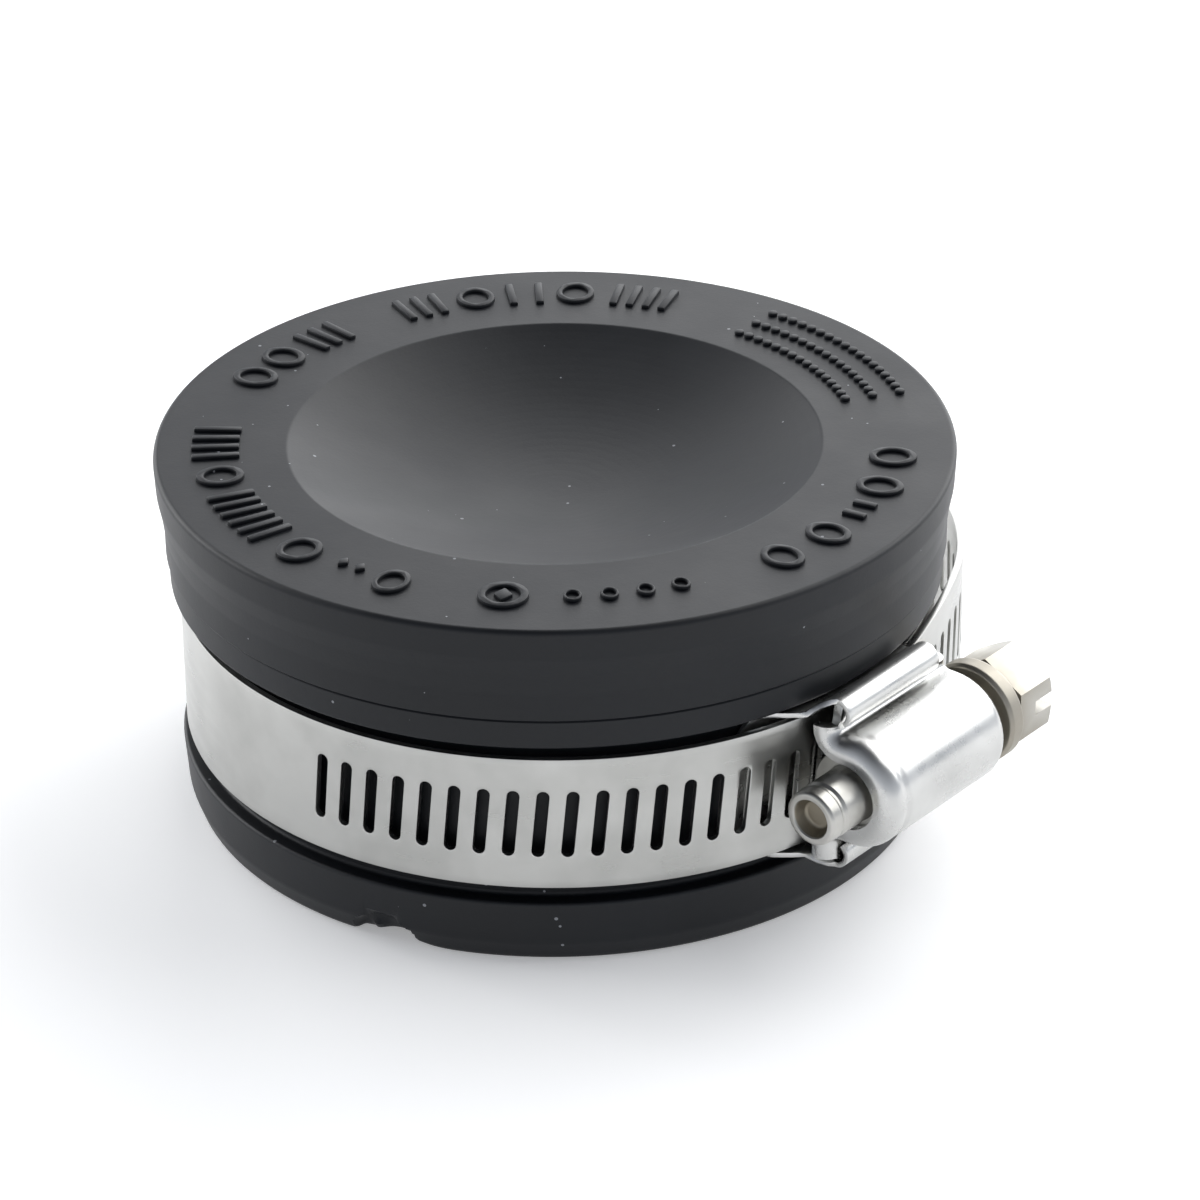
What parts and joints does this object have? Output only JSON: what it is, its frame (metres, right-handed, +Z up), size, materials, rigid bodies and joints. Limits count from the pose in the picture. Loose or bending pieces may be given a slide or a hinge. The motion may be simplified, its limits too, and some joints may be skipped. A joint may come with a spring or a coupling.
{
  "type": "flexible pipe end cap with worm-drive clamp",
  "caption": "Soft black end cap with a dished closed end and a deep socket for a pipe, held by a slotted steel band that a worm screw tightens.",
  "frame": {"origin": "centre of the socket's mouth, on the cap's axis, in the plane that the cap stands on", "axes": "+Z up the cap's axis to the closed end; -Y towards the clamp's housing; +X along the screw towards its head"},
  "size_m": [0.0738, 0.08, 0.0342],
  "materials": {
    "rubber": "matte moulded",
    "band_steel": "satin rolled strip",
    "housing_steel": "bright pressed sheet",
    "screw_steel": "turned, dull"
  },
  "bodies": {
    "cap": {"rubber_cap": "rubber"},
    "housing": {"worm_housing": "housing_steel", "housing_saddle": "housing_steel", "band_fixed_end": "band_steel"},
    "band": {"clamp_band": "band_steel"},
    "screw": {"worm_screw": "screw_steel"}
  },
  "joints": [
    {"name": "clamp_swivel", "type": "hinge", "parent": "cap", "child": "housing", "pos_m": [0, 0, 0], "axis": [0, 0, 1], "continuous": true},
    {"name": "screw_spin", "type": "hinge", "parent": "housing", "child": "screw", "pos_m": [0, -0.03875, 0.01452], "axis": [-1, 0, 0], "range_deg": [-360, 720]},
    {"name": "band_takeup", "type": "hinge", "parent": "housing", "child": "band", "pos_m": [0, -0.00055, 0.01452], "axis": [0, 0, 1], "range_deg": [-4.4, 8.7]}
  ],
  "couplings": [
    {"joint": "band_takeup", "follows": "screw_spin", "ratio": 0.011786}
  ]
}
